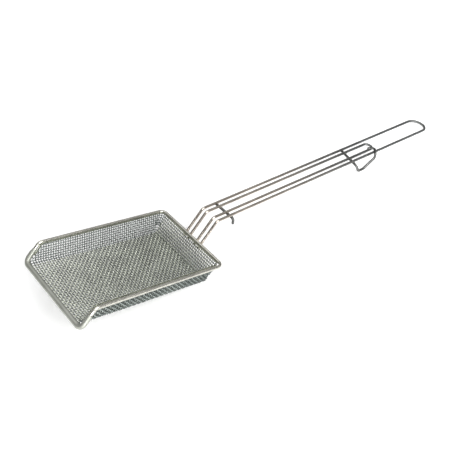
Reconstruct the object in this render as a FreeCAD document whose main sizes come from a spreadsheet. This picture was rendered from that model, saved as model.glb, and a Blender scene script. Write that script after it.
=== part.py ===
import FreeCAD, Part
import math
import os
import PartDesign
import Sketcher

# Fryer skimmer: a woven wire scoop in a bent rod frame, with a long handle of two wires and a side hook.
# Everything is drawn in the scoop's own frame: X to the right seen from the lip, Y from the lip towards
# the handle, Z up from the underside of the scoop's floor. The finished pieces are then tipped together
# into the pose in which the skimmer lies on a table.

Vector = FreeCAD.Vector
doc = FreeCAD.newDocument("fryer_skimmer")

driving_sizes = [
    ("rim_width", 135.0, "between the centre lines of the side rods"),
    ("rim_length", 210.0, "from the lip's centre line to that of the back rod"),
    ("rim_height", 28.0, "centre line of the side and back rods above the floor"),
    ("rod_diameter", 4.8, "rod of the rim frame"),
    ("rod_bend", 8.0, "bend of the rod's centre line at its corners"),
    ("lip_height", 2.0, "centre line of the rod at the lip above the floor"),
    ("lip_slope_run", 16.6, "how far behind the lip the rod reaches its full height"),
    ("lip_cover_diameter", 7.2, "outside of the rolled strip on the lip"),
    ("lip_cover_wall", 0.8, "thickness of that strip"),
    ("lip_cover_setback", 10.0, "from the top of each slope down to the strip's end"),
    ("side_inset", 8.15, "from a side rod's centre line in to the mesh's side fold"),
    ("back_inset", 15.0, "from the back rod's centre line in to the mesh's back fold"),
    ("mesh_pitch", 3.46, "between the centre lines of neighbouring mesh wires"),
    ("mesh_core", 0.4, "thickness of the mesh between its two layers of ridges"),
    ("wires_per_ridge", 2, "how many neighbouring mesh wires one ridge stands for"),
    ("ridge_height", 0.4, "how far a ridge stands out of the core"),
    ("ridge_width", 0.8, "width of a ridge"),
    ("hem_height", 2.6, "folded edge along the top of the mesh"),
    ("mesh_gap", 0.05, "room between the mesh and the rod that it lies against"),
    ("handle_wire", 4.0, "diameter of both handle wires"),
    ("grip_width", 32.0, "between the centre lines of the outer handle wire's sides"),
    ("inner_width", 15.0, "between the centre lines of the inner handle wire's sides"),
    ("neck_angle", 59.0, "slope of the neck above the scoop's floor, in degrees"),
    ("neck_height", 58.9, "centre line of the knee above the floor"),
    ("neck_weld", 6.0, "how far each wire runs on below its touch on the back rod"),
    ("knee_bend", 7.0, "bend of a handle wire at the knee"),
    ("handle_slope", 9.4, "rise of the handle above the scoop's floor, in degrees"),
    ("grip_length", 453.0, "from the knee to the outer loop's end"),
    ("inner_length", 325.0, "from the knee to the inner loop's end"),
    ("end_flat", 2.0, "straight run across the middle of each loop's end"),
    ("bar_wire", 4.0, "diameter of the cross bar and of the hook"),
    ("bar_overhang", 2.6, "how far a bar passes the outer wire's centre line on the left"),
    ("front_bar_place", 25.6, "from the knee to the front cross bar"),
    ("front_bar_reach", 4.4, "how far the bar's turned end stands outside the grip on the right"),
    ("front_bar_drop", 8.4, "length of the bar's turned end below its centre line"),
    ("hook_setback", 50.5, "from the inner loop's end back to the hook's bar, in the handle's middle"),
    ("hook_skew", 7.5, "how much nearer the knee the hook's bar is at its right end"),
    ("hook_reach", 8.0, "how far the hook stands outside the outer wire's centre line"),
    ("hook_drop", 16.6, "centre line of the hook's bottom below that of the handle"),
    ("hook_lean", 8.0, "how far the front leg leans back on its way down"),
    ("hook_bottom", 12.0, "length of the hook's bottom"),
    ("hook_rise_run", 22.0, "how far the rear leg runs back on its way up"),
    ("hook_tip", 10.5, "how far the tip runs on past the rear leg before it turns in"),
    ("hook_bottom_bend", 6.0, "bends at the hook's bottom"),
    ("bar_bend", 4.0, "other bends of the hook and of the cross bar"),
]

sheet = doc.addObject("Spreadsheet::Sheet", "sizes")
for row, (alias, value, note) in enumerate(driving_sizes, start=1):
    sheet.set(f"A{row}", alias)
    sheet.set(f"B{row}", str(value))
    sheet.set(f"C{row}", note)
    sheet.setAlias(f"B{row}", alias)
doc.recompute()


def size(alias):
    return float(getattr(sheet, alias))


rod_radius = size("rod_diameter") / 2
wire_radius = size("handle_wire") / 2
bar_radius = size("bar_wire") / 2
half_rim = size("rim_width") / 2
half_grip = size("grip_width") / 2
half_inner = size("inner_width") / 2

# The mesh floor is set in from the rods. Its sizes are used both as numbers and as expressions.
floor_width_size = "(sizes.rim_width - 2 * sizes.side_inset)"
floor_length_size = "(sizes.rim_length - sizes.back_inset)"
floor_width = size("rim_width") - 2 * size("side_inset")
floor_length = size("rim_length") - size("back_inset")
slope = math.radians(size("handle_slope"))
neck = math.radians(size("neck_angle"))

# The neck leans on the back rod from behind. The knee lies on the neck's line at the neck's height.
touch_y = size("rim_length") + (rod_radius + wire_radius) * math.sin(neck)
touch_z = size("rim_height") - (rod_radius + wire_radius) * math.cos(neck)
knee_y = touch_y + (size("neck_height") - touch_z) / math.tan(neck)
knee_z = size("neck_height")


def on_handle(across, along, above):
    """A point of the handle, from its distance across, from the knee and above the wires' plane."""
    y = knee_y + along * math.cos(slope) - above * math.sin(slope)
    z = knee_z + along * math.sin(slope) + above * math.cos(slope)
    return Vector(across, y, z)


# The hook's centre line, as the bar under the wires, the leg down, the bottom, the leg up and the tip.
bar_level = wire_radius + bar_radius
hook_across = half_grip + size("hook_reach")
skew_rate = size("hook_skew") / (2 * half_grip)
hook_place = size("inner_length") - size("hook_setback")
bar_start = hook_place + skew_rate * (half_grip + size("bar_overhang"))
bar_end = hook_place - skew_rate * hook_across
hook_front = bar_end + size("hook_lean")
hook_rear = hook_front + size("hook_bottom")
hook_top = hook_rear + size("hook_rise_run")
tip_turn = hook_top + size("hook_tip")
hook_points = [
    on_handle(-half_grip - size("bar_overhang"), bar_start, -bar_level),
    on_handle(hook_across, bar_end, -bar_level),
    on_handle(hook_across, hook_front, -size("hook_drop")),
    on_handle(hook_across, hook_rear, -size("hook_drop")),
    on_handle(hook_across, hook_top, -bar_level),
    on_handle(hook_across, hook_top, bar_level),
    on_handle((half_grip + half_inner) / 2, tip_turn, bar_level),
    on_handle(half_inner, hook_top, bar_level),
]


# The rest pose. The skimmer lies on the mesh's back fold and on what first touches behind it,
# the outer loop's end or the hook's bottom.
fold_y = floor_length
loop_end = on_handle(0, size("grip_length"), 0)


def resting_angle(point, radius):
    """How far the scoop tips back before a wire of this radius at this point reaches the table."""
    reach = math.hypot(point.y - fold_y, point.z)
    return math.atan2(point.z, point.y - fold_y) - math.asin(radius / reach)


tilt = min(resting_angle(loop_end, wire_radius), resting_angle(hook_points[3], bar_radius))
tipped = FreeCAD.Rotation(Vector(1, 0, 0), -math.degrees(tilt))
on_fold = FreeCAD.Placement(tipped.multVec(Vector(0, -fold_y, 0)), tipped)
lip_front = on_fold.multVec(Vector(0, 0, size("lip_height"))).y - size("lip_cover_diameter") / 2
grip_back = on_fold.multVec(loop_end).y + wire_radius
centred = FreeCAD.Placement(Vector(0, -(lip_front + grip_back) / 2, 0), FreeCAD.Rotation())
rest_pose = centred.multiply(on_fold)

pieces = []


def finish_piece(piece, name):
    """Names a finished piece and tips it into the rest pose."""
    piece.Label = name
    piece.Placement = rest_pose.multiply(piece.Placement)
    pieces.append(piece)


def corner_arc(before, corner, after, bend):
    """The ends and the middle of the arc that rounds one corner of a path."""
    back = (before - corner).normalize()
    ahead = (after - corner).normalize()
    half_turn = back.getAngle(ahead) / 2
    cut = bend / math.tan(half_turn)
    inwards = (back + ahead).normalize()
    centre = corner + inwards * (bend / math.sin(half_turn))
    return corner + back * cut, centre - inwards * bend, corner + ahead * cut


def bent_path(points, bends, closed=False):
    """Straight runs joined by tangent arcs. A closed path starts and ends inside its first run."""
    ring = points + [points[0]] if closed else points
    edges = []
    here = ring[0]
    for before, corner, after, bend in zip(ring, ring[1:], ring[2:], bends):
        start, arc_middle, end = corner_arc(before, corner, after, bend)
        edges.append(Part.LineSegment(here, start).toShape())
        edges.append(Part.Arc(start, arc_middle, end).toShape())
        here = end
    edges.append(Part.LineSegment(here, ring[-1]).toShape())
    return Part.Wire(edges)


def swept_round(name, path, radius):
    """A round section, its radius bound to the sheet, swept along a path."""
    spine = doc.addObject("Part::Feature", name + "_path")
    spine.Shape = path
    section = doc.addObject("Part::Circle", name + "_section")
    section.setExpression("Radius", radius)
    first = path.OrderedEdges[0]
    direction = first.tangentAt(first.FirstParameter)
    start = first.valueAt(first.FirstParameter)
    section.Placement = FreeCAD.Placement(start, FreeCAD.Rotation(Vector(0, 0, 1), direction))
    sweep = doc.addObject("Part::Sweep", name)
    sweep.Sections = [section]
    sweep.Spine = (spine, [f"Edge{number + 1}" for number in range(len(path.Edges))])
    sweep.Solid = True
    return sweep


def boolean(kind, name, base, tool):
    result = doc.addObject(kind, name)
    result.Base = base
    result.Tool = tool
    return result


def box(name, **bounds):
    """A box from expressions for its sizes and its low corner."""
    result = doc.addObject("Part::Box", name)
    for part, prop in (("length", "Length"), ("width", "Width"), ("height", "Height")):
        result.setExpression(prop, bounds[part])
    for axis in "xyz":
        result.setExpression("Placement.Base." + axis, bounds[axis])
    return result


# Rim frame: one rod round the scoop, high at the back and sides, and bent down to the lip in front.
rim_corners = [
    Vector(0, size("rim_length"), size("rim_height")),
    Vector(half_rim, size("rim_length"), size("rim_height")),
    Vector(half_rim, size("lip_slope_run"), size("rim_height")),
    Vector(half_rim, 0, size("lip_height")),
    Vector(-half_rim, 0, size("lip_height")),
    Vector(-half_rim, size("lip_slope_run"), size("rim_height")),
    Vector(-half_rim, size("rim_length"), size("rim_height")),
]
rim_path = bent_path(rim_corners, [size("rod_bend")] * 6, closed=True)
finish_piece(swept_round("rim_rod", rim_path, "sizes.rod_diameter / 2"), "rim_frame")


# Lip cover: a strip rolled round the rod at the lip, open underneath at the back for the mesh's edge.
def lip_cover_path():
    top, right, left = rim_corners[2:5]
    climb = top - right
    climb *= 1 - size("lip_cover_setback") / climb.Length
    return bent_path([right + climb, right, left, left + climb], [size("rod_bend")] * 2)


cover_outside = swept_round("cover_outside", lip_cover_path(), "sizes.lip_cover_diameter / 2")
cover_inside = swept_round(
    "cover_inside", lip_cover_path(), "sizes.lip_cover_diameter / 2 - sizes.lip_cover_wall"
)
cover_tube = boolean("Part::Cut", "cover_tube", cover_outside, cover_inside)
mesh_slot = box(
    "mesh_slot",
    length=floor_width_size,
    width="sizes.lip_cover_diameter",
    height="sizes.mesh_core + 2 * (sizes.ridge_height + sizes.mesh_gap)",
    x=f"-{floor_width_size} / 2",
    y="0",
    z="-sizes.ridge_height - sizes.mesh_gap",
)
finish_piece(boolean("Part::Cut", "lip_strip", cover_tube, mesh_slot), "front_lip")


# Mesh basket: one folded sheet of woven wire. It is a thin core with a ridge for each wire, the long
# wires inside and the cross wires outside, and with gaps through the core where light comes through.
mesh_top = size("rim_height") + size("hem_height") / 2


def wall_spread(inset):
    """How far a wall leans out over the rim's height, from its fold to its touch on the rod."""
    reach = math.hypot(inset, size("rim_height"))
    lean = math.atan2(inset, size("rim_height")) - math.asin((rod_radius + size("mesh_gap")) / reach)
    return size("rim_height") * math.tan(lean)


side_spread = wall_spread(size("side_inset"))
back_spread = wall_spread(size("back_inset"))


def tray_form(name, outwards):
    """The solid inside a tray whose walls lie this far outside the mesh core's outer face."""
    to_top = mesh_top / size("rim_height")
    half_top = f"{floor_width_size} / 2 + {side_spread * to_top} + ({outwards})"
    block = doc.addObject("Part::Wedge", name + "_block")
    block.setExpression("Ymin", f"-({outwards})")
    block.setExpression("Ymax", f"{mesh_top}")
    block.setExpression("Xmin", f"-{floor_width_size} / 2 - ({outwards})")
    block.setExpression("Xmax", f"{floor_width_size} / 2 + ({outwards})")
    block.setExpression("X2min", f"-({half_top})")
    block.setExpression("X2max", half_top)
    block.setExpression("Zmin", f"-{floor_length_size} - ({outwards})")
    block.setExpression("Z2min", f"-{floor_length_size} - {back_spread * to_top} - ({outwards})")
    block.setExpression("Zmax", "sizes.rod_bend")
    block.setExpression("Z2max", "sizes.rod_bend")
    block.Placement = FreeCAD.Placement(Vector(0, 0, 0), FreeCAD.Rotation(Vector(1, 0, 0), 90))
    doc.recompute()
    corner_round = size("rod_bend") - rod_radius / 2
    back_corners = []
    for number, edge in enumerate(block.Shape.Edges, start=1):
        low, high = sorted((vertex.Point for vertex in edge.Vertexes), key=lambda point: point.z)
        if low.y > 0 and high.z - low.z > 1:
            back_corners.append((number, corner_round, corner_round))
    form = doc.addObject("Part::Fillet", name)
    form.Base = block
    form.Edges = back_corners
    return form


slab_axes = {
    "YZ_Plane": ("X_Axis", Vector(1, 0, 0)),
    "XZ_Plane": ("Y_Axis", Vector(0, 1, 0)),
    "XY_Plane": ("Z_Axis", Vector(0, 0, 1)),
}


def slab_row(name, plane, low_corner, high_corner, thickness, step, count, first):
    """Parallel slabs, padded from one outline on an origin plane and repeated by a linear pattern."""
    body = doc.addObject("PartDesign::Body", name)
    body.AllowCompound = True
    origin = {feature.Role: feature for feature in body.Origin.OriginFeatures}
    sketch = body.newObject("Sketcher::SketchObject", name + "_outline")
    sketch.AttachmentSupport = [(origin[plane], "")]
    sketch.MapMode = "FlatFace"
    left, low = low_corner
    right, high = high_corner
    corners = [Vector(left, low, 0), Vector(right, low, 0), Vector(right, high, 0), Vector(left, high, 0)]
    for number in range(4):
        sketch.addGeometry(Part.LineSegment(corners[number], corners[(number + 1) % 4]))
    for number in range(4):
        sketch.addConstraint(Sketcher.Constraint("Coincident", number, 2, (number + 1) % 4, 1))
    for number in (0, 2):
        sketch.addConstraint(Sketcher.Constraint("Horizontal", number))
        sketch.addConstraint(Sketcher.Constraint("Vertical", number + 1))
    sketch.addConstraint(Sketcher.Constraint("DistanceX", 0, 1, 0, 2, right - left))
    sketch.addConstraint(Sketcher.Constraint("DistanceY", 1, 1, 1, 2, high - low))
    sketch.addConstraint(Sketcher.Constraint("DistanceX", -1, 1, 0, 1, left))
    sketch.addConstraint(Sketcher.Constraint("DistanceY", -1, 1, 0, 1, low))
    pad = body.newObject("PartDesign::Pad", name + "_slab")
    pad.Profile = sketch
    pad.setExpression("Length", thickness)
    pad.Midplane = True
    row = body.newObject("PartDesign::LinearPattern", name + "_row")
    row.Originals = [pad]
    axis, direction = slab_axes[plane]
    row.Direction = (origin[axis], [""])
    row.Occurrences = count
    row.setExpression("Length", f"({step}) * {count - 1}")
    body.Tip = row
    body.Placement.Base = direction * first
    return body


pitch = size("mesh_pitch")
ridge_step = pitch * size("wires_per_ridge")
gap_step = 3 * ridge_step
ridge_height = size("ridge_height")
cover_radius = size("lip_cover_diameter") / 2
wall_top = size("rim_height") - rod_radius
side_end = floor_length - pitch

# Gaps come every third ridge step. The long ridges lie evenly about the middle, the cross ridges end one
# pitch before the back fold, and those along the walls start one pitch above the floor.
column_count = int(floor_width / gap_step)
long_count = 3 * column_count + 1
first_long = -(long_count - 1) / 2 * ridge_step
row_count = int((side_end - cover_radius) / gap_step)
cross_count = 3 * row_count + 1
first_cross = side_end - (cross_count - 1) * ridge_step
first_rail = pitch + ridge_height
rail_count = int((wall_top - first_rail) / ridge_step) + 1

outside = tray_form("outside_of_cross_wires", "sizes.ridge_height")
outer_face = tray_form("outer_face", "0")
inner_face = tray_form("inner_face", "-sizes.mesh_core")
inside = tray_form("inside_of_long_wires", "-sizes.mesh_core - sizes.ridge_height")
core = boolean("Part::Cut", "mesh_core", outer_face, inner_face)
outer_layer = boolean("Part::Cut", "outer_layer", outside, outer_face)
inner_layer = boolean("Part::Cut", "inner_layer", inner_face, inside)

far_side = size("rim_width")
far_end = size("rim_length")
below = -1
ridge = "sizes.ridge_width"
step = "sizes.mesh_pitch * sizes.wires_per_ridge"
long_wires = slab_row(
    "long_wires", "YZ_Plane", (0, below), (far_end, mesh_top), ridge, step, long_count, first_long
)
cross_wires = slab_row(
    "cross_wires", "XZ_Plane", (-far_side, below), (far_side, wall_top),
    ridge, step, cross_count, first_cross,
)
side_wires = slab_row(
    "side_wires", "XY_Plane", (-far_side, 0), (far_side, side_end), ridge, step, rail_count, first_rail
)
back_wires = slab_row(
    "back_wires", "XY_Plane", (first_long, floor_length), (-first_long, far_end),
    ridge, step, rail_count, first_rail,
)

# Each gap opens three ridge steps less one pitch, so that a strip of core is left along every third ridge
# and two ridges cross the gap each way.
gap_width = f"3 * {step} - sizes.mesh_pitch"
gap_columns = slab_row(
    "gap_columns", "YZ_Plane", (0, below), (far_end, wall_top), gap_width, f"3 * {step}",
    column_count, -(column_count - 1) / 2 * gap_step,
)
gap_rows = slab_row(
    "gap_rows", "XZ_Plane", (-far_side, below), (far_side, wall_top), gap_width, f"3 * {step}",
    row_count, first_cross + gap_step / 2,
)
gap_low = f"{first_rail} + sizes.mesh_pitch / 2"
gap_height = f"{rail_count - 1} * {step} - sizes.mesh_pitch"
side_band = box(
    "side_band", length="2 * sizes.rim_width", width=f"{side_end - first_cross - gap_step}",
    height=gap_height, x="-sizes.rim_width", y=f"{first_cross + gap_step}", z=gap_low,
)
back_band = box(
    "back_band", length="2 * sizes.rim_width", width="sizes.back_inset",
    height=gap_height, x="-sizes.rim_width", y=floor_length_size, z=gap_low,
)
open_core = core
for name, row, band in (
    ("floor_gaps", gap_columns, gap_rows),
    ("side_gaps", gap_rows, side_band),
    ("back_gaps", gap_columns, back_band),
):
    gaps = boolean("Part::Common", name, row, band)
    open_core = boolean("Part::Cut", "core_less_" + name, open_core, gaps)

hem_band = box(
    "hem_band", length="2 * sizes.rim_width", width="2 * sizes.rim_length", height="sizes.hem_height",
    x="-sizes.rim_width", y="0", z="sizes.rim_height - sizes.hem_height / 2",
)
woven = doc.addObject("Part::MultiFuse", "woven_sheet")
woven.Shapes = [
    open_core,
    boolean("Part::Common", "long_ridges", inner_layer, long_wires),
    boolean("Part::Common", "cross_ridges", outer_layer, cross_wires),
    boolean("Part::Common", "side_ridges", inner_layer, side_wires),
    boolean("Part::Common", "back_ridges", outer_layer, back_wires),
    boolean("Part::Common", "hem", inner_layer, hem_band),
]

# The sheet's front edge lies in the slot of the lip cover, against the rod. Its walls start behind the
# cover and follow the rod up at the same slope.
mesh_face = size("mesh_core") + ridge_height
rod_face = math.sqrt(max(rod_radius**2 - (size("lip_height") - mesh_face) ** 2, 0)) + size("mesh_gap")
corner_back = cover_radius + 2 * size("mesh_gap")
corner_top = size("lip_height") + corner_back
front_trim = box(
    "front_trim", length="2 * sizes.rim_width", width="sizes.rim_length", height="2 * sizes.rim_height",
    x="-sizes.rim_width", y=f"{rod_face} - sizes.rim_length", z="-sizes.rim_height / 2",
)
side_trims = [
    box(
        name, length="sizes.rim_width", width="sizes.rim_length", height="sizes.rim_height",
        x=place, y=f"{corner_back} - sizes.rim_length", z=f"{corner_top} - sizes.rim_height",
    )
    for name, place in (
        ("left_trim", f"-{floor_width_size} / 2 - sizes.rim_width + sizes.mesh_core + sizes.ridge_height"),
        ("right_trim", f"{floor_width_size} / 2 - sizes.mesh_core - sizes.ridge_height"),
    )
]
slope_trim = doc.addObject("Part::Box", "slope_trim")
slope_trim.setExpression("Length", "2 * sizes.rim_width")
slope_trim.setExpression("Width", "sizes.rim_length")
slope_trim.setExpression("Height", "4 * sizes.rim_height")
lip_lean = math.degrees(math.atan2(size("lip_slope_run"), size("rim_height") - size("lip_height")))
leaning = FreeCAD.Rotation(Vector(1, 0, 0), -lip_lean)
low_corner = leaning.multVec(Vector(-size("rim_width"), -size("rim_length"), -size("rim_height")))
slope_trim.Placement = FreeCAD.Placement(Vector(0, corner_back, corner_top) + low_corner, leaning)
trims = doc.addObject("Part::MultiFuse", "front_trims")
trims.Shapes = [front_trim, *side_trims, slope_trim]
finish_piece(boolean("Part::Cut", "trimmed_sheet", woven, trims), "mesh_basket")


# Handle wires: two long loops, one inside the other. Each is one wire that starts under the back rod,
# climbs the neck, turns at the knee, runs round its end and comes back the same way.
def handle_loop(half_width, length):
    foot_y = touch_y - size("neck_weld") * math.cos(neck)
    foot_z = touch_z - size("neck_weld") * math.sin(neck)
    foot = Vector(-half_width, foot_y, foot_z)
    left = [foot, on_handle(-half_width, 0, 0), on_handle(-half_width, length, 0)]
    right = [Vector(-point.x, point.y, point.z) for point in reversed(left)]
    end_bend = half_width - size("end_flat") / 2
    return bent_path(left + right, [size("knee_bend"), end_bend, end_bend, size("knee_bend")])


grip_path = handle_loop(half_grip, size("grip_length"))
inner_path = handle_loop(half_inner, size("inner_length"))
finish_piece(swept_round("grip_wire", grip_path, "sizes.handle_wire / 2"), "outer_handle_wire")
finish_piece(swept_round("inner_wire", inner_path, "sizes.handle_wire / 2"), "inner_handle_wire")

# Front cross bar: it lies under the four wires just behind the knee, and its right end is turned down.
front_bar_side = half_grip + size("front_bar_reach")
front_bar_points = [
    on_handle(-half_grip - size("bar_overhang"), size("front_bar_place"), -bar_level),
    on_handle(front_bar_side, size("front_bar_place"), -bar_level),
    on_handle(front_bar_side, size("front_bar_place"), -bar_level - size("front_bar_drop")),
]
front_bar_path = bent_path(front_bar_points, [size("bar_bend")])
finish_piece(swept_round("front_bar", front_bar_path, "sizes.bar_wire / 2"), "front_cross_bar")

# Hook: one wire that crosses under the handle, makes an open V beside it and ends on top of the wires.
hook_bends = [size("bar_bend"), size("hook_bottom_bend"), size("hook_bottom_bend")] + [size("bar_bend")] * 3
finish_piece(swept_round("hook", bent_path(hook_points, hook_bends), "sizes.bar_wire / 2"), "hook_wire")

doc.recompute()
for item in doc.Objects:
    if "Invalid" in item.State or "Error" in item.State:
        raise RuntimeError(f"{item.Name} failed: {item.State}")
for piece in pieces:
    if piece.Shape.isNull() or not piece.Shape.isValid():
        raise RuntimeError(f"{piece.Label} has no valid shape")

os.makedirs("parts", exist_ok=True)
for piece in pieces:
    piece.Shape.exportStep(f"parts/{piece.Label}.step")
    volume = piece.Shape.Volume / 1000
    print(f"{piece.Label}: {len(piece.Shape.Solids)} solid, {volume:.2f} cm3")
print(f"tipped back by {math.degrees(tilt):.2f} degrees")
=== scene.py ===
import math
import bpy
import numpy as np
from mathutils import Matrix, Vector


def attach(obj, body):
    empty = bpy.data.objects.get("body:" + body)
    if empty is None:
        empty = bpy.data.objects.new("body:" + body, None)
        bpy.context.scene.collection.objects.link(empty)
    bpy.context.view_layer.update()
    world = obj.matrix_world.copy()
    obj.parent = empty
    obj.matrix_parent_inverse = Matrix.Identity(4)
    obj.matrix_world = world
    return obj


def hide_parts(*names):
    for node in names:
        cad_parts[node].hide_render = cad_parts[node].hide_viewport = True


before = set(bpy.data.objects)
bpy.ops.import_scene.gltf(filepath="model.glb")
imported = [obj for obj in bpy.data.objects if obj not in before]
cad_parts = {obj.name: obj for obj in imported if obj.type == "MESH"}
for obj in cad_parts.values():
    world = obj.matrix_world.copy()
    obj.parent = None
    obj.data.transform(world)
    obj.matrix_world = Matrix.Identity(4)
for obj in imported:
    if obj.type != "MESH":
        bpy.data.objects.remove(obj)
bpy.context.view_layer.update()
print("frame loaded with nodes", sorted(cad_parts))

# All sizes are in millimetres in the scoop's own frame: x to the right seen from the lip, y from the lip
# towards the handle, z up from the underside of the scoop's floor. placed() lays the points on the table.
restPose = {"tilt": 15.0282, "backFold": 195.0, "middle": -157.0263}
millimetres = 1000  # in a metre
rightwards = np.array([1.0, 0.0, 0.0])
upwards = np.array([0.0, 0.0, 1.0])
mirrored = np.array([-1, 1, 1])

# how finely the lines and their skins are divided, in points and in millimetres a step
detail = {
    "arcPoints": 14, "longStep": 3, "shortStep": 2, "rodColumns": 28, "sheetColumns": 36, "wireColumns": 24,
    "meshColumns": 6, "hemColumns": 16, "endRows": 5, "edgePoints": 200,
}


def placed(points):
    # turned about the back fold by the tilt, shifted to the middle, then millimetres to metres
    points = np.asarray(points, float)
    turn = math.radians(restPose["tilt"])
    y = points[..., 1] - restPose["backFold"]
    z = points[..., 2]
    level = y * math.cos(turn) + z * math.sin(turn) + restPose["middle"]
    height = z * math.cos(turn) - y * math.sin(turn)
    return np.stack([points[..., 0], level, height], axis=-1) / millimetres


def unit(vectors):
    # each vector divided by its length
    return vectors / np.maximum(np.linalg.norm(vectors, axis=-1, keepdims=True), 1e-12)


def bentPath(corners, bends, closed=False):
    # straight runs between corners, with a circular arc tangent to both runs at each corner
    corners = [np.array(corner, float) for corner in corners]
    ring = corners + [corners[0]] if closed else corners
    path = [ring[:1]]
    for before, corner, after, bend in zip(ring, ring[1:], ring[2:], bends):
        back, ahead = unit(before - corner), unit(after - corner)
        halfTurn = math.acos(np.clip(back @ ahead, -1, 1)) / 2
        start = corner + back * bend / math.tan(halfTurn)
        centre = corner + unit(back + ahead) * bend / math.sin(halfTurn)
        angles = np.linspace(0, math.pi - 2 * halfTurn, detail["arcPoints"])[:, None]
        path.append(centre + bend * (unit(start - centre) * np.cos(angles) - back * np.sin(angles)))
    if not closed:
        path.append(ring[-1:])
    return np.concatenate(path)


def pathLengths(path):
    # the length along the path up to each of its points
    return np.concatenate([[0], np.cumsum(np.linalg.norm(np.diff(path, axis=0), axis=1))])


def evenSteps(path, step):
    # the same line with its long runs divided into steps of about this size, and its bends kept as they are
    lengths = np.linalg.norm(np.diff(path, axis=0), axis=1)
    pieces = []
    for start, end, length in zip(path, path[1:], lengths):
        count = max(1, round(length / step))
        pieces.append(start + (end - start) * np.arange(count)[:, None] / count)
    return np.concatenate(pieces + [path[-1:]])


def sideVectors(path, closed):
    # tangents by central differences, and a side vector carried along the path without twist
    if closed:
        tangents = unit(np.roll(path, -1, axis=0) - np.roll(path, 1, axis=0))
    else:
        tangents = unit(np.gradient(path, axis=0))
    steep = 0.9  # a first tangent that points up more than this takes its side from y instead of z
    start = upwards if abs(tangents[0][2]) < steep else np.array([0.0, 1.0, 0.0])
    side = unit(np.cross(tangents[0], start))
    sides = []
    for tangent in tangents:
        side = unit(side - tangent * (side @ tangent))
        sides.append(side)
    sides = np.array(sides)
    return sides, np.cross(tangents, sides)


def tubeGrid(path, radius, columns, closed=False):
    # a circle of points round each point of the path: centre + radius (side cos t + other sin t)
    sides, others = sideVectors(path, closed)
    angles = np.arange(columns) * 2 * math.pi / columns
    radius = np.broadcast_to(radius, len(path))[:, None, None]
    ring = sides[:, None] * np.cos(angles)[:, None] + others[:, None] * np.sin(angles)[:, None]
    return path[:, None] + radius * ring


def croppedWire(path, radius):
    # a tube with the rounded ends of a cut wire: over a quarter turn t, its end ring moves out by
    # radius / 4 * sin t and shrinks by the share (1 - cos t) / 4
    rounding = 0.25
    grid = tubeGrid(path, radius, detail["wireColumns"])
    turns = np.linspace(0, math.pi / 2, detail["endRows"])[1:]
    ends = []
    for point, inside, ring in ((path[0], path[1], grid[0]), (path[-1], path[-2], grid[-1])):
        outwards = unit(point - inside) * (rounding * radius)
        ends.append(np.array([
            point + outwards * math.sin(turn) + (ring - point) * (1 - rounding * (1 - math.cos(turn)))
            for turn in turns
        ]))
    return np.concatenate([ends[0][::-1], grid, ends[1]])


def addMesh(name, grids, material, closed=False, replaces=()):
    # each grid of points, rows along and columns round, becomes quads, joined into one object. An open grid
    # gets a flat cap at each end. The uv runs once round, and one unit for each centimetre along, where the
    # step that closes a ring counts as one millimetre.
    perUvUnit, closingStep = 10, 1
    vertices, faces, uvs, first = [], [], [], 0
    for grid in grids:
        rows, columns = grid.shape[:2]
        number = first + np.arange(rows * columns).reshape(rows, columns)
        this, after = (number, np.roll(number, -1, axis=0)) if closed else (number[:-1], number[1:])
        quads = np.stack([this, np.roll(this, -1, 1), np.roll(after, -1, 1), after], axis=-1)
        steps = np.linalg.norm(np.diff(grid.mean(axis=1), axis=0), axis=1)
        along = np.concatenate([[0], np.cumsum(steps), [steps.sum() + closingStep]]) / perUvUnit
        across = np.arange(columns + 1) / columns
        runs = np.arange(len(this))[:, None]
        turns = np.arange(columns)[None]
        us = np.stack(np.broadcast_arrays(*[across[turns + k] + 0 * runs for k in (0, 1, 1, 0)]), axis=-1)
        vs = np.stack(np.broadcast_arrays(*[along[runs + k] + 0 * turns for k in (0, 0, 1, 1)]), axis=-1)
        uvs.append(np.stack([us, vs], axis=-1).reshape(-1, 2))
        vertices.append(grid.reshape(-1, 3))
        faces.extend(quads.reshape(-1, 4).tolist())
        first += rows * columns
    capUvs = []
    if not closed:
        first = 0
        for grid in grids:
            rows, columns = grid.shape[:2]
            faces.append(list(range(first, first + columns))[::-1])
            faces.append(list(range(first + (rows - 1) * columns, first + rows * columns)))
            capUvs.append(np.zeros((2 * columns, 2)))
            first += rows * columns
    mesh = bpy.data.meshes.new(name)
    mesh.from_pydata(placed(np.concatenate(vertices)).tolist(), [], faces)
    layer = mesh.uv_layers.new(name="alongWire")
    layer.data.foreach_set("uv", np.concatenate(uvs + capUvs).astype(np.float32).ravel())
    mesh.polygons.foreach_set("use_smooth", np.ones(len(mesh.polygons), bool))
    mesh.update()
    piece = bpy.data.objects.new(name, mesh)
    bpy.context.scene.collection.objects.link(piece)
    mesh.materials.append(material)
    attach(piece, "root")
    if replaces:
        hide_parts(*replaces)
    return piece


# materials: one shared wear group, and a metal for each kind of part
wearAndShadeLook = {
    "blotchDetail": 4, "speckleDetail": 2, "lineDetail": 3,
    "lineStretch": (60, 0.8, 1),  # across the wire and along it, so that the noise becomes drawing lines
    "speckleHeight": 0.4, "bumpDepth": 0.0002,
    "darkBelow": 0.35, "lightAbove": 0.65,  # of the blotches
    # gripFrom to gripTo: where the handle's colour is painted darker as shade towards its far end
    "gripFrom": -0.04, "gripTo": 0.2, "gripRoughening": 0.5,  # y on the table, in metres
}


def newGroup(name, inputs, outputs):
    # a node group with float inputs, each with its value, and float outputs
    group = bpy.data.node_groups.new(name, "ShaderNodeTree")
    for label, value in inputs.items():
        socket = group.interface.new_socket(label, in_out="INPUT", socket_type="NodeSocketFloat")
        socket.default_value = value
    for label in outputs:
        group.interface.new_socket(label, in_out="OUTPUT", socket_type="NodeSocketFloat")
    return group, group.nodes.new("NodeGroupInput"), group.nodes.new("NodeGroupOutput")


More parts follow.
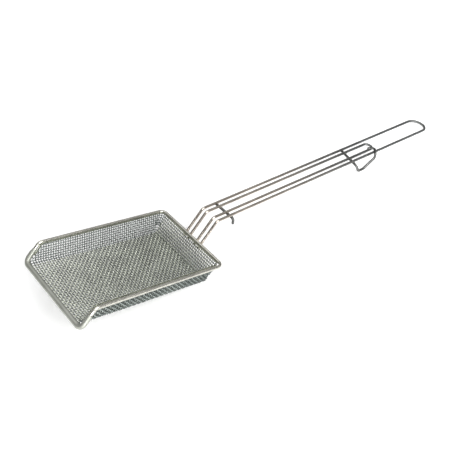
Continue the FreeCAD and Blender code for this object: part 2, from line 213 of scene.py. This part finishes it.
def mathNode(nodes, links, operation, a, b):
    # the result of a Math node on two numbers or sockets
    node = nodes.new("ShaderNodeMath")
    node.operation = operation
    for socket, value in zip(node.inputs, (a, b)):
        if isinstance(value, (int, float)):
            socket.default_value = value
        else:
            links.new(value, socket)
    return node.outputs[0]


def rampNode(nodes, stops):
    # a colour ramp through a list of (position, colour)
    node = nodes.new("ShaderNodeValToRGB")
    elements = node.color_ramp.elements
    for element, (position, colour) in zip(elements, (stops[0], stops[-1])):
        element.position = position
        element.color = (*colour, 1)
    for position, colour in stops[1:-1]:
        elements.new(position).color = (*colour, 1)
    return node


def metalWearGroup():
    # soft blotches of handling and heat, fine speckle, and drawing lines that follow a wire's own uv
    group, given, wanted = newGroup(
        "metalWear",
        {"Blotch Scale": 45.0, "Speckle Scale": 900.0, "Line Strength": 0.5},
        ["Blotch", "Speckle", "Height"],
    )
    nodes, links = group.nodes, group.links
    coordinates = nodes.new("ShaderNodeTexCoord")
    blotch = nodes.new("ShaderNodeTexNoise")
    blotch.inputs["Detail"].default_value = wearAndShadeLook["blotchDetail"]
    speckle = nodes.new("ShaderNodeTexNoise")
    speckle.inputs["Detail"].default_value = wearAndShadeLook["speckleDetail"]
    links.new(coordinates.outputs["Object"], blotch.inputs["Vector"])
    links.new(coordinates.outputs["Object"], speckle.inputs["Vector"])
    links.new(given.outputs["Blotch Scale"], blotch.inputs["Scale"])
    links.new(given.outputs["Speckle Scale"], speckle.inputs["Scale"])
    stretch = nodes.new("ShaderNodeMapping")
    stretch.inputs["Scale"].default_value = wearAndShadeLook["lineStretch"]
    uvMap = nodes.new("ShaderNodeUVMap")
    uvMap.uv_map = "alongWire"
    links.new(uvMap.outputs["UV"], stretch.inputs["Vector"])
    lines = nodes.new("ShaderNodeTexNoise")
    lines.inputs["Scale"].default_value = 1.0
    lines.inputs["Detail"].default_value = wearAndShadeLook["lineDetail"]
    links.new(stretch.outputs["Vector"], lines.inputs["Vector"])
    drawn = mathNode(nodes, links, "MULTIPLY", lines.outputs["Fac"], given.outputs["Line Strength"])
    grainy = mathNode(nodes, links, "MULTIPLY", speckle.outputs["Fac"], wearAndShadeLook["speckleHeight"])
    links.new(blotch.outputs["Fac"], wanted.inputs["Blotch"])
    links.new(speckle.outputs["Fac"], wanted.inputs["Speckle"])
    links.new(mathNode(nodes, links, "ADD", drawn, grainy), wanted.inputs["Height"])
    return group


metalWear = metalWearGroup()


def metal(name, dark, light, roughness, bump, blotches=45, speckles=900, lines=0.5, gripShadeTint=(1, 1, 1)):
    # a metal whose colour runs from dark to light with the blotches, and whose roughness follows the speckle.
    # The grip tint multiplies the colour at the far end of the handle, a painted shade that darkens and cools
    # it there, and the roughness there rises by half of what the green of the colour lost.
    material = bpy.data.materials.new(name)
    material.use_nodes = True
    nodes, links = material.node_tree.nodes, material.node_tree.links
    shader = nodes["Principled BSDF"]
    shader.inputs["Metallic"].default_value = 1.0
    wear = nodes.new("ShaderNodeGroup")
    wear.node_tree = metalWear
    wear.inputs["Blotch Scale"].default_value = blotches
    wear.inputs["Speckle Scale"].default_value = speckles
    wear.inputs["Line Strength"].default_value = lines
    ramp = rampNode(nodes, [(wearAndShadeLook["darkBelow"], dark), (wearAndShadeLook["lightAbove"], light)])
    links.new(wear.outputs["Blotch"], ramp.inputs["Fac"])
    coordinates = nodes.new("ShaderNodeTexCoord")
    split = nodes.new("ShaderNodeSeparateXYZ")
    links.new(coordinates.outputs["Object"], split.inputs["Vector"])
    gripShadeAndDulling = nodes.new("ShaderNodeMapRange")
    gripShadeAndDulling.interpolation_type = "SMOOTHSTEP"
    gripShadeAndDulling.inputs["From Min"].default_value = wearAndShadeLook["gripFrom"]
    gripShadeAndDulling.inputs["From Max"].default_value = wearAndShadeLook["gripTo"]
    links.new(split.outputs["Y"], gripShadeAndDulling.inputs["Value"])
    tinted = nodes.new("ShaderNodeMix")
    tinted.data_type = "RGBA"
    tinted.blend_type = "MULTIPLY"
    factor, colour, tint = tinted.inputs[0], tinted.inputs[6], tinted.inputs[7]  # the sockets of RGBA
    tint.default_value = (*gripShadeTint, 1)
    links.new(gripShadeAndDulling.outputs["Result"], factor)
    links.new(ramp.outputs["Color"], colour)
    links.new(tinted.outputs[2], shader.inputs["Base Color"])
    spread = nodes.new("ShaderNodeMapRange")
    spread.inputs["To Min"].default_value, spread.inputs["To Max"].default_value = roughness
    links.new(wear.outputs["Speckle"], spread.inputs["Value"])
    added = (1 - gripShadeTint[1]) * wearAndShadeLook["gripRoughening"]
    rougher = mathNode(nodes, links, "MULTIPLY", gripShadeAndDulling.outputs["Result"], added)
    links.new(mathNode(nodes, links, "ADD", spread.outputs["Result"], rougher), shader.inputs["Roughness"])
    dents = nodes.new("ShaderNodeBump")
    dents.inputs["Strength"].default_value = bump
    dents.inputs["Distance"].default_value = wearAndShadeLook["bumpDepth"]
    links.new(wear.outputs["Height"], dents.inputs["Height"])
    links.new(dents.outputs["Normal"], shader.inputs["Normal"])
    return material


meshGrain = {"bump": 0.05, "blotches": 60, "speckles": 1500}
metalLooks = {
    "platedWire": {
        "dark": (0.46, 0.415, 0.365), "light": (0.62, 0.565, 0.50), "roughness": (0.08, 0.22), "bump": 0.1,
        # the grip tint paints shade on the far end of the handle: darker and cooler there
        "gripShadeTint": (0.37, 0.42, 0.47),
    },
    "barWire": {
        "dark": (0.13, 0.132, 0.128), "light": (0.2, 0.203, 0.198), "roughness": (0.35, 0.5), "bump": 0.1,
    },
    "rimRod": {
        "dark": (0.50, 0.49, 0.44), "light": (0.68, 0.67, 0.60), "roughness": (0.2, 0.36), "bump": 0.15,
    },
    "lipSteel": {
        "dark": (0.42, 0.43, 0.385), "light": (0.5, 0.51, 0.465), "roughness": (0.5, 0.6), "bump": 0.1,
        "lines": 0.25,
    },
    # the long wires are painted lighter and warmer than the cross wires: a painted sheen and warm reflection
    # on their crowns
    "longWireWithPaintedSheen": {
        "dark": (0.33, 0.345, 0.28), "light": (0.46, 0.48, 0.39), "roughness": (0.28, 0.42), **meshGrain,
    },
    # the wall rails are painted darker and bluer: a painted shade and cool reflection on the walls
    "wallWireWithPaintedShade": {
        "dark": (0.17, 0.19, 0.185), "light": (0.24, 0.265, 0.255), "roughness": (0.28, 0.42), **meshGrain,
    },
    # the cross wires, which also stand up the side walls, are painted darker than the long wires: a painted
    # shade
    "crossWireWithPaintedShade": {
        "dark": (0.20, 0.22, 0.205), "light": (0.28, 0.31, 0.285), "roughness": (0.3, 0.44), **meshGrain,
    },
    "weldMetal": {
        "dark": (0.12, 0.115, 0.105), "light": (0.28, 0.27, 0.25), "roughness": (0.35, 0.6), "bump": 0.5,
        "blotches": 400, "speckles": 2500, "lines": 0.0,
    },
}
finishes = {name: metal(name, **look) for name, look in metalLooks.items()}
print("materials ready")

# rim: one rod round the scoop, high at the back and sides, lowered to the lip
rim = {
    "width": 135.0, "length": 210.0, "height": 28.0, "rod": 4.8, "bend": 8.0, "lipHeight": 2.0,
    "slopeRun": 16.6,
}
halfRim = rim["width"] / 2
rimCorners = [
    (0, rim["length"], rim["height"]),
    (halfRim, rim["length"], rim["height"]),
    (halfRim, rim["slopeRun"], rim["height"]),
    (halfRim, 0, rim["lipHeight"]),
    (-halfRim, 0, rim["lipHeight"]),
    (-halfRim, rim["slopeRun"], rim["height"]),
    (-halfRim, rim["length"], rim["height"]),
]
rimPath = evenSteps(bentPath(rimCorners, [rim["bend"]] * 6, closed=True), detail["longStep"])
rimGrid = tubeGrid(rimPath, rim["rod"] / 2, detail["rodColumns"], closed=True)
addMesh("rimRod", [rimGrid], finishes["rimRod"], closed=True, replaces=["rim_frame"])

# lip: a strip of sheet rolled round the rod and drawn down onto it at both ends
lip = {"diameter": 7.2, "setback": 10.0, "taper": 7.0, "endDiameter": 5.4, "clearance": 0.05}
slopeTopCorner, rightCorner, leftCorner = (np.array(rimCorners[k], float) for k in (2, 3, 4))
climb = slopeTopCorner - rightCorner
climb *= 1 - lip["setback"] / np.linalg.norm(climb)
lipCorners = [rightCorner + climb, rightCorner, leftCorner, leftCorner + climb]
lipPath = evenSteps(bentPath(lipCorners, [rim["bend"]] * 2), detail["shortStep"])
fromStart = pathLengths(lipPath)
# the diameter grows over the taper by 3 s^2 - 2 s^3, with s the share of the taper that is passed
share = np.clip(np.minimum(fromStart, fromStart[-1] - fromStart) / lip["taper"], 0, 1)
swell = share * share * (3 - 2 * share)
skinDiameter = lip["endDiameter"] + (lip["diameter"] - lip["endDiameter"]) * swell
skin = tubeGrid(lipPath, skinDiameter / 2, detail["sheetColumns"])
lining = tubeGrid(lipPath, rim["rod"] / 2 + lip["clearance"], detail["sheetColumns"])
lipGrid = np.concatenate([skin, lining[::-1]])
addMesh("lipSleeve", [lipGrid], finishes["lipSteel"], closed=True, replaces=["front_lip"])
print("rim and lip ready")

# mesh: plain-woven wires, folded up at the sides and the back. One surface function gives the floor and the
# side walls, so that every wire is a line across or along it.
cloth = {
    "pitch": 3.46, "wire": 1.3, "wave": 0.62, "stepsPerPitch": 4,
    "inset": 1.0, "floorWidth": 118.7, "floorLength": 195.0, "front": 3.2, "top": 28.2,
    "sideSpread": 5.4, "slopeSpread": 4.6, "spreadRun": 8.0, "slopeSetback": 1.7,  # the side walls
    "backSpread": 11.9, "backFold": 2.6,  # the back wall
    "foldSoftness": 1.1, "foldSamples": 7, "normalStep": 0.2,  # the fold at the sides
    "frontStart": 4.0, "frontRun": 76.0, "frontPower": 1.5, "frontSpread": 4.0,  # the curl at the lip
    "frontRise": 5.0, "frontCurl": 22.0, "leastWall": 0.5,
    "straight": 100.0,  # a place along the scoop where the walls are straight
    "railMargin": 1.6, "railInset": 0.4, "cornerBend": 1.5, "cornerWidening": 4.0,
    "cornerUprights": 4, "cornerGap": 8.0, "uprightInset": 0.6, "flatness": 0.01,
}
pitch = cloth["pitch"]
base = cloth["inset"]
floorHalf = cloth["floorWidth"] / 2 - base
floorEnd = cloth["floorLength"] - base
lastLong = int(floorHalf / pitch)
lastCross = int(floorEnd / pitch)
wireStep = pitch / cloth["stepsPerPitch"]


def wallTop(y):
    # the walls follow the rod down the front slope
    slope = (rim["height"] - rim["lipHeight"]) / rim["slopeRun"]
    return np.minimum(cloth["top"], rim["lipHeight"] + (y - cloth["slopeSetback"]) * slope)


def wallLines(y):
    # where a side wall's fold lies, out from the middle and up from the floor, and how far the wall reaches
    # out and up from there. The fold is drawn out and up towards the lip, and the wall's reach changes
    # round the top of the slope.
    y = np.asarray(y, float)
    nearLip = np.clip(1 - (y - cloth["frontStart"]) / cloth["frontRun"], 0, 1) ** cloth["frontPower"]
    half = floorHalf + cloth["frontSpread"] * nearLip
    rise = np.minimum(cloth["frontRise"] * nearLip, wallTop(y) - base - cloth["leastWall"])
    pastSlope = np.clip((y - rim["slopeRun"]) / cloth["spreadRun"] + 0.5, 0, 1)
    spread = cloth["slopeSpread"] + (cloth["sideSpread"] - cloth["slopeSpread"]) * pastSlope
    wide, tall = floorHalf + spread - half, wallTop(y) - base - rise
    return half, rise, wide, tall


def clothPoint(across, y):
    # across is the length over the cloth from its middle line: flat, curled up near the lip, then the wall.
    # The average over a short length either side turns the sharp fold into a small bend.
    across, y = np.broadcast_arrays(np.asarray(across, float), np.asarray(y, float))
    half, rise, wide, tall = wallLines(y)
    wallLength = np.hypot(wide, tall)
    x, z = 0, 0
    shifts = np.linspace(-1, 1, cloth["foldSamples"]) * cloth["foldSoftness"]
    for shift in shifts:
        length = np.abs(across) + shift
        upWall = np.maximum(length - half, 0)
        curl = np.clip((length - half) / cloth["frontCurl"] + 1, 0, 1)
        x = x + np.minimum(length, half) + upWall * wide / wallLength
        z = z + base + rise * curl**2 + upWall * tall / wallLength
    return np.stack([np.sign(across) * x / len(shifts), y, z / len(shifts)], axis=-1)


def clothNormal(across, y):
    # square to the cloth, up or inwards: the direction across it turned by a right angle in the x, z plane
    step = cloth["normalStep"]
    ahead = unit(clothPoint(across + step, y) - clothPoint(across - step, y))
    return np.stack([-ahead[..., 2], 0 * ahead[..., 1], ahead[..., 0]], axis=-1)


def clothEdge(y):
    # the length over the cloth from its middle line to the upper edge of its wall
    half, _, wide, tall = wallLines(y)
    return half + np.hypot(wide, tall)


def waved(line, normals, marks, numbers, parity):
    # the line displaced along its normals by wave * cos(pi n), where n counts the wires that it crosses
    phase = np.interp(pathLengths(line), marks, numbers)
    return line + normals * (cloth["wave"] * np.cos(math.pi * (phase + parity)))[:, None]


def crossWire(number):
    # from the left wall's edge, down, across the floor and up the right wall
    y = number * pitch
    edge = float(clothEdge(y))
    across = np.linspace(-edge, edge, int(2 * edge / wireStep))
    swing = cloth["wave"] * np.cos(math.pi * (across / pitch + number))
    return clothPoint(across, y) + clothNormal(across, y) * swing[:, None]


# the rails run along the walls: one at each pitch from the fold to just below the wall's edge
lastRail = (clothEdge(cloth["straight"]) - cloth["railMargin"]) / pitch
railNumbers = np.arange(lastLong + 1, math.ceil(lastRail))
railHeights = clothPoint(railNumbers * pitch, cloth["straight"])[:, 2]
print("mesh rails at", np.round(railHeights, 1))


def longWire(number):
    # from the lip over the floor and up the back wall, with marks where it crosses the cross wires and rails
    x = number * pitch
    top, lean = cloth["top"], cloth["backSpread"] / rim["height"]
    corners = [(x, cloth["front"], base), (x, floorEnd, base), (x, floorEnd + lean * top, top)]
    line = evenSteps(bentPath(corners, [cloth["backFold"]]), wireStep)
    onFloor = line[:, 2] < base + cloth["flatness"]
    line[onFloor] = clothPoint(x, line[onFloor, 1])
    lengths = pathLengths(line)
    onWall = line[:, 1] > floorEnd
    marks = [n * pitch - cloth["front"] for n in range(lastCross + 1)]
    marks += list(np.interp(railHeights, line[onWall, 2], lengths[onWall]))
    marks.append(marks[-1] + pitch)
    normals = unit(np.cross(rightwards, np.gradient(line, axis=0)))
    return waved(line, normals, marks, np.arange(len(marks)), number + 1)


def railLine(number):
    # one wire along the left wall, round the back and along the right wall, its corners wider at the top,
    # with the lengths at which it crosses the side wires, the corner uprights and the back wires
    edgePlaces = np.linspace(cloth["front"], rim["slopeRun"] + cloth["spreadRun"], detail["edgePoints"])
    start = float(np.interp(number * pitch, clothEdge(edgePlaces), edgePlaces)) + cloth["railInset"]
    half, _, height = clothPoint(number * pitch, cloth["straight"])
    share = height / rim["height"]
    back = floorEnd + cloth["backSpread"] * share
    bend = cloth["cornerBend"] + cloth["cornerWidening"] * share
    corners = [(-half, start, height), (-half, back, height), (half, back, height), (half, start, height)]
    line = evenSteps(bentPath(corners, [bend] * 2), wireStep)
    normals = unit(np.cross(np.gradient(line, axis=0), upwards))
    alongSide = line[:, 1] < cloth["straight"]
    across = np.sign(line[alongSide, 0]) * number * pitch
    normals[alongSide] = clothNormal(across, line[alongSide, 1])
    line[alongSide] = clothPoint(across, line[alongSide, 1])
    toTurn, turn = back - bend - start, math.pi / 2 * bend
    sideMarks = np.arange(math.ceil(start / pitch), lastCross + 1) * pitch - start
    backMarks = toTurn + turn + half - bend + np.arange(-lastLong, lastLong + 1) * pitch
    gap = backMarks[0] - sideMarks[-1]
    cornerCount = cloth["cornerUprights"] if gap > cloth["cornerGap"] else 0
    cornerMarks = sideMarks[-1] + gap * np.arange(1, cornerCount + 1) / (cornerCount + 1)
    total = 2 * (toTurn + turn) + 2 * (half - bend)
    farMarks = [total - cornerMarks[::-1], total - sideMarks[::-1]]
    marks = np.concatenate([sideMarks, cornerMarks, backMarks, *farMarks])
    return line, normals, marks, math.ceil(start / pitch), cornerMarks


def rail(number):
    # a rail's line, waved over and under the wires that it crosses
    line, normals, marks, firstNumber, _ = railLine(number)
    return waved(line, normals, marks, firstNumber + np.arange(len(marks)), number + 1)


def cornerWires():
    # short uprights that fan out in the two back corners, through the same marks as the rails
    rails = [railLine(number) for number in railNumbers]
    uprights = []
    for column in range(cloth["cornerUprights"]):
        points = np.array([
            [np.interp(cornerMarks[column], pathLengths(line), line[:, k]) for k in range(3)]
            for line, _, _, _, cornerMarks in rails if len(cornerMarks)
        ])
        step = points[-1] - points[-2]
        toEdge = (cloth["top"] - cloth["uprightInset"] - points[-1][2]) / step[2]
        upright = evenSteps(np.concatenate([points, points[-1:] + step * toEdge]), wireStep)
        uprights += [upright, upright * mirrored]
    return uprights


crossWires = [crossWire(n) for n in range(1, lastCross + 1)]
longWires = [longWire(n) for n in range(-lastLong, lastLong + 1)]
rails = [rail(number) for number in railNumbers] + cornerWires()
for name, paths, finish, nodes in (
    ("meshCrossWires", crossWires, "crossWireWithPaintedShade", []),
    ("meshLongWires", longWires, "longWireWithPaintedSheen", ["mesh_basket"]),
    ("meshRails", rails, "wallWireWithPaintedShade", []),
):
    grids = [tubeGrid(path, cloth["wire"] / 2, detail["meshColumns"]) for path in paths]
    piece = addMesh(name, grids, finishes[finish], replaces=nodes)
    print(name, len(piece.data.polygons), "faces")

# hem: the cloth's edge folded to a strip, from the lip up both slopes and along the top of the three walls
hem = {
    "height": 2.2, "thickness": 1.0, "start": 9.0, "rise": 0.2, "slopeBend": 6.0, "backBend": 5.6,
    "lean": 0.3, "sidePower": 0.6, "topPower": 0.5,
}
hemTop = cloth["top"] + hem["rise"]
slopeTop = rim["slopeRun"] + cloth["slopeSetback"]
hemBack = floorEnd + cloth["backSpread"]
hemCorners = [
    (-floorHalf - cloth["slopeSpread"], hem["start"], float(wallTop(hem["start"]))),
    (-floorHalf - cloth["sideSpread"], slopeTop, hemTop),
    (-floorHalf - cloth["sideSpread"], hemBack, hemTop),
]
hemCorners += [(-x, y, z) for x, y, z in hemCorners[::-1]]
hemBends = [hem["slopeBend"], hem["backBend"], hem["backBend"], hem["slopeBend"]]
hemLine = evenSteps(bentPath(hemCorners, hemBends), detail["longStep"])
hemTangents = unit(np.gradient(hemLine, axis=0))
hemOut = unit(np.cross(hemTangents, np.array([0.0, -hem["lean"], 1.0])))
hemUp = np.cross(hemOut, hemTangents)


def roundedSide(values, size, power):
    # a rounded rectangle in one direction: half the size times |value| ^ power, with the value's sign
    return size / 2 * np.sign(values) * np.abs(values) ** power


hemTurns = np.arange(detail["hemColumns"]) * 2 * math.pi / detail["hemColumns"]
profileOut = roundedSide(np.cos(hemTurns), hem["thickness"], hem["sidePower"])
profileUp = roundedSide(np.sin(hemTurns), hem["height"], hem["topPower"])
hemGrid = hemLine[:, None] + hemOut[:, None] * profileOut[:, None] + hemUp[:, None] * profileUp[:, None]
# the hem takes the long wires' lighter finish, a painted light against the shade along the rod
addMesh("meshHem", [hemGrid], finishes["longWireWithPaintedSheen"])
print("mesh ready")

# handle: two wire loops, a cross bar and a hook
handle = {
    "wire": 4.0, "gripWidth": 32.0, "innerWidth": 15.0, "neckAngle": 59.0, "neckHeight": 58.9,
    "neckWeld": 6.0, "kneeBend": 7.0, "slope": 9.4, "gripLength": 453.0, "innerLength": 325.0,
    "endFlat": 2.0,
}
slope, neck = math.radians(handle["slope"]), math.radians(handle["neckAngle"])
contact = (rim["rod"] + handle["wire"]) / 2
touch = np.array([rim["length"] + contact * math.sin(neck), rim["height"] - contact * math.cos(neck)])
knee = np.array([touch[0] + (handle["neckHeight"] - touch[1]) / math.tan(neck), handle["neckHeight"]])


def onHandle(across, along, above):
    # a point by its distances across the handle, along its slope from the knee, and square above that line
    y = knee[0] + along * math.cos(slope) - above * math.sin(slope)
    z = knee[1] + along * math.sin(slope) + above * math.cos(slope)
    return np.array([across, y, z])


def handleLoop(halfWidth, length):
    # from the left foot under the back rim, over the knee, round the end and back to the right foot
    foot = touch - handle["neckWeld"] * np.array([math.cos(neck), math.sin(neck)])
    corners = [np.array([-halfWidth, *foot]), onHandle(-halfWidth, 0, 0), onHandle(-halfWidth, length, 0)]
    corners += [corner * mirrored for corner in corners[::-1]]
    endBend = halfWidth - handle["endFlat"] / 2
    bends = [handle["kneeBend"], endBend, endBend, handle["kneeBend"]]
    return evenSteps(bentPath(corners, bends), detail["longStep"])


halfGrip, halfInner = handle["gripWidth"] / 2, handle["innerWidth"] / 2
wireRadius = handle["wire"] / 2
for name, node, halfWidth, length in (
    ("gripWire", "outer_handle_wire", halfGrip, handle["gripLength"]),
    ("innerWire", "inner_handle_wire", halfInner, handle["innerLength"]),
):
    grid = croppedWire(handleLoop(halfWidth, length), wireRadius)
    addMesh(name, [grid], finishes["platedWire"], replaces=[node])

# the places of the bar and the hook are lengths along the handle from the knee
bar = {"wire": 4.0, "overhang": 2.6, "bend": 4.0, "place": 25.6, "reach": 4.4, "drop": 8.4}
hook = {
    "place": 274.5, "skew": 7.5, "reach": 8.0, "drop": 16.6, "lean": 8.0, "bottom": 12.0, "riseRun": 22.0,
    "tip": 10.5, "bottomBend": 6.0,
}
barRadius = bar["wire"] / 2
level = wireRadius + barRadius
barSide = halfGrip + bar["reach"]
barCorners = [
    onHandle(-halfGrip - bar["overhang"], bar["place"], -level),
    onHandle(barSide, bar["place"], -level),
    onHandle(barSide, bar["place"], -level - bar["drop"]),
]
hookSide = halfGrip + hook["reach"]
skewRate = hook["skew"] / (2 * halfGrip)
hookStart = hook["place"] + skewRate * (halfGrip + bar["overhang"])
hookTurn = hook["place"] - skewRate * hookSide
legFront = hookTurn + hook["lean"]
legRear = legFront + hook["bottom"]
legTop = legRear + hook["riseRun"]
hookCorners = [
    onHandle(-halfGrip - bar["overhang"], hookStart, -level),
    onHandle(hookSide, hookTurn, -level),
    onHandle(hookSide, legFront, -hook["drop"]),
    onHandle(hookSide, legRear, -hook["drop"]),
    onHandle(hookSide, legTop, -level),
    onHandle(hookSide, legTop, level),
    onHandle((halfGrip + halfInner) / 2, legTop + hook["tip"], level),
    onHandle(halfInner, legTop, level),
]
hookBends = [bar["bend"], hook["bottomBend"], hook["bottomBend"], bar["bend"], bar["bend"], bar["bend"]]
for name, node, corners, bends in (
    ("crossBar", "front_cross_bar", barCorners, [bar["bend"]]),
    ("hookWire", "hook_wire", hookCorners, hookBends),
):
    grid = croppedWire(evenSteps(bentPath(corners, bends), detail["shortStep"]), barRadius)
    addMesh(name, [grid], finishes["barWire"], replaces=[node])
print("handle ready")

# welds: small lumpy beads where the wires are joined, by their half sizes along, out and across
weld = {
    "neck": (1.9, 0.9, 0.9), "neckSpacing": 1.5, "bar": (2.0, 0.9, 2.0), "tip": (1.6, 0.9, 1.7), "tipSeed": 5,
    "rings": 9, "columns": 14, "poleGap": 0.02, "lumps": 0.09, "ripples": 0.06,
}


def weldBead(centre, along, out, size, seed):
    # an ellipsoid on the directions along, out and their cross product, with a few low waves in its skin:
    # 1 + lumps sin(3b + seed) sin a + ripples cos(2a + 2b + 1.7 seed)
    third = np.cross(along, out)
    a = np.linspace(weld["poleGap"], math.pi - weld["poleGap"], weld["rings"])[:, None]
    b = np.arange(weld["columns"])[None] * 2 * math.pi / weld["columns"]
    lumps = weld["lumps"] * np.sin(3 * b + seed) * np.sin(a)
    ripples = weld["ripples"] * np.cos(2 * a + 2 * b + 1.7 * seed)
    skin = 1 + lumps + ripples
    parts = [np.cos(a) + 0 * b, np.sin(a) * np.cos(b), np.sin(a) * np.sin(b)]
    vectors = (along, out, third)
    return centre + sum((skin * part * reach)[..., None] * v for part, reach, v in zip(parts, size, vectors))


beads = []
neckDirection = np.array([0, math.cos(neck), math.sin(neck)])
neckOut = np.array([0, math.sin(neck), -math.cos(neck)])
handleUp = np.array([0, -math.sin(slope), math.cos(slope)])
for number, x in enumerate((-halfGrip, -halfInner, halfInner, halfGrip)):
    onRod = np.array([x, rim["length"], rim["height"]]) + neckOut * rim["rod"] / 2
    for sideways in (-1, 1):
        spot = onRod + rightwards * sideways * weld["neckSpacing"]
        beads.append(weldBead(spot, neckDirection, rightwards, weld["neck"], number + sideways))
    for along in (bar["place"], hook["place"] - skewRate * x):
        spot = onHandle(x, along, -wireRadius)
        beads.append(weldBead(spot, rightwards, handleUp, weld["bar"], 2 * number + along))
tipEnd = hookCorners[-1] - onHandle(0, 0, level) + onHandle(0, 0, wireRadius)
beads.append(weldBead(tipEnd, rightwards, handleUp, weld["tip"], weld["tipSeed"]))
addMesh("weldBeads", beads, finishes["weldMetal"])
print("welds ready")

# floor: pale, with a glow for the camera and for reflections that grows with the distance from the scoop, so
# that the ground is white and keeps the shadow. Its sizes are in metres.
ground = {
    "halfSize": 6, "colour": (0.9, 0.9, 0.9), "scoop": (0, -0.22, 0), "perMetre": 0.6,
    "glow": [(0.03, (0.14, 0.14, 0.14)), (0.15, (0.46, 0.46, 0.46)), (1.0, (1, 1, 1))],
}
floorMaterial = bpy.data.materials.new("paleFloor")
floorMaterial.use_nodes = True
nodes, links = floorMaterial.node_tree.nodes, floorMaterial.node_tree.links
nodes.remove(nodes["Principled BSDF"])
diffuse = nodes.new("ShaderNodeBsdfDiffuse")
diffuse.inputs["Color"].default_value = (*ground["colour"], 1)
glow = nodes.new("ShaderNodeEmission")
rays = nodes.new("ShaderNodeLightPath")
seen = mathNode(nodes, links, "MAXIMUM", rays.outputs["Is Camera Ray"], rays.outputs["Is Glossy Ray"])
seen = mathNode(nodes, links, "MAXIMUM", seen, rays.outputs["Is Transmission Ray"])
coordinates = nodes.new("ShaderNodeTexCoord")
distance = nodes.new("ShaderNodeVectorMath")
distance.operation = "DISTANCE"
distance.inputs[1].default_value = ground["scoop"]
links.new(coordinates.outputs["Object"], distance.inputs[0])
growth = rampNode(nodes, ground["glow"])
far = mathNode(nodes, links, "MULTIPLY", distance.outputs["Value"], ground["perMetre"])
links.new(far, growth.inputs["Fac"])
links.new(mathNode(nodes, links, "MULTIPLY", seen, growth.outputs["Color"]), glow.inputs["Strength"])
both = nodes.new("ShaderNodeAddShader")
links.new(diffuse.outputs[0], both.inputs[0])
links.new(glow.outputs[0], both.inputs[1])
links.new(both.outputs[0], nodes["Material Output"].inputs["Surface"])
half = ground["halfSize"]
floorMesh = bpy.data.meshes.new("floor")
floorCorners = [(-half, -half, 0), (half, -half, 0), (half, half, 0), (-half, half, 0)]
floorMesh.from_pydata(floorCorners, [], [(0, 1, 2, 3)])
floorMesh.materials.append(floorMaterial)
floor = bpy.data.objects.new("floor", floorMesh)
bpy.context.scene.collection.objects.link(floor)

# world: a grey gradient by height that lights the metal, and plain white behind the floor for the camera
studio = [(0.1, (0.04, 0.04, 0.045)), (0.8, (0.6, 0.6, 0.6))]
world = bpy.data.worlds.new("studio")
bpy.context.scene.world = world
world.use_nodes = True
nodes, links = world.node_tree.nodes, world.node_tree.links
sky = nodes["Background"]
coordinates = nodes.new("ShaderNodeTexCoord")
split = nodes.new("ShaderNodeSeparateXYZ")
links.new(coordinates.outputs["Generated"], split.inputs["Vector"])
gradient = rampNode(nodes, studio)
links.new(split.outputs["Z"], gradient.inputs["Fac"])
links.new(gradient.outputs["Color"], sky.inputs["Color"])
white = nodes.new("ShaderNodeBackground")
white.inputs["Color"].default_value = (1, 1, 1, 1)
rays = nodes.new("ShaderNodeLightPath")
choose = nodes.new("ShaderNodeMixShader")
links.new(rays.outputs["Is Camera Ray"], choose.inputs["Fac"])
links.new(sky.outputs[0], choose.inputs[1])
links.new(white.outputs[0], choose.inputs[2])
links.new(choose.outputs[0], nodes["World Output"].inputs["Surface"])

# lamps: round soft lights, in metres and watts
lamps = {
    "keyLight": {"location": (1.3, -0.1, 1.1), "target": (0, -0.1, 0), "size": 1.2, "power": 25},
    "fillLight": {"location": (-0.5, 0.1, 1.6), "target": (0, 0, 0), "size": 1.2, "power": 5},
    "sideLight": {"location": (0.9, -0.9, 0.15), "target": (0, -0.2, 0.04), "size": 0.5, "power": 7},
}
for name, look in lamps.items():
    lamp = bpy.data.lights.new(name, "AREA")
    lamp.shape = "DISK"
    lamp.size = look["size"]
    lamp.energy = look["power"]
    lampObject = bpy.data.objects.new(name, lamp)
    bpy.context.scene.collection.objects.link(lampObject)
    lampObject.location = look["location"]
    direction = Vector(look["target"]) - Vector(look["location"])
    lampObject.rotation_mode = "QUATERNION"
    lampObject.rotation_quaternion = direction.to_track_quat("-Z", "Y")

# the camera's place and directions, worked out from the photograph's perspective in the scoop's frame. The
# farthest distance that it sees is in metres.
view = {
    "place": (570.3, -364.1, 590.8),
    "lens": 57.6,
    "sensor": 36,
    "farthest": 20,
    "right": (0.62222, 0.75212, 0.21716),
    "down": (0.54726, -0.21955, -0.80765),
    "ahead": (-0.55977, 0.62139, -0.54821),
}
camera = bpy.data.cameras.new("camera")
camera.lens = view["lens"]
camera.sensor_width = view["sensor"]
camera.clip_end = view["farthest"]
cameraObject = bpy.data.objects.new("camera", camera)
bpy.context.scene.collection.objects.link(cameraObject)
bpy.context.scene.camera = cameraObject
start = np.array(view["place"])
right, down, ahead = (
    placed(start + millimetres * np.array(view[k])) - placed(start) for k in ("right", "down", "ahead")
)
matrix = np.eye(4)
matrix[:3, 0], matrix[:3, 1], matrix[:3, 2] = right, -down, -ahead
matrix[:3, 3] = placed(start)
cameraObject.matrix_world = Matrix(matrix.tolist())
bpy.context.scene.view_settings.view_transform = "Standard"
print("floor, light and camera ready")
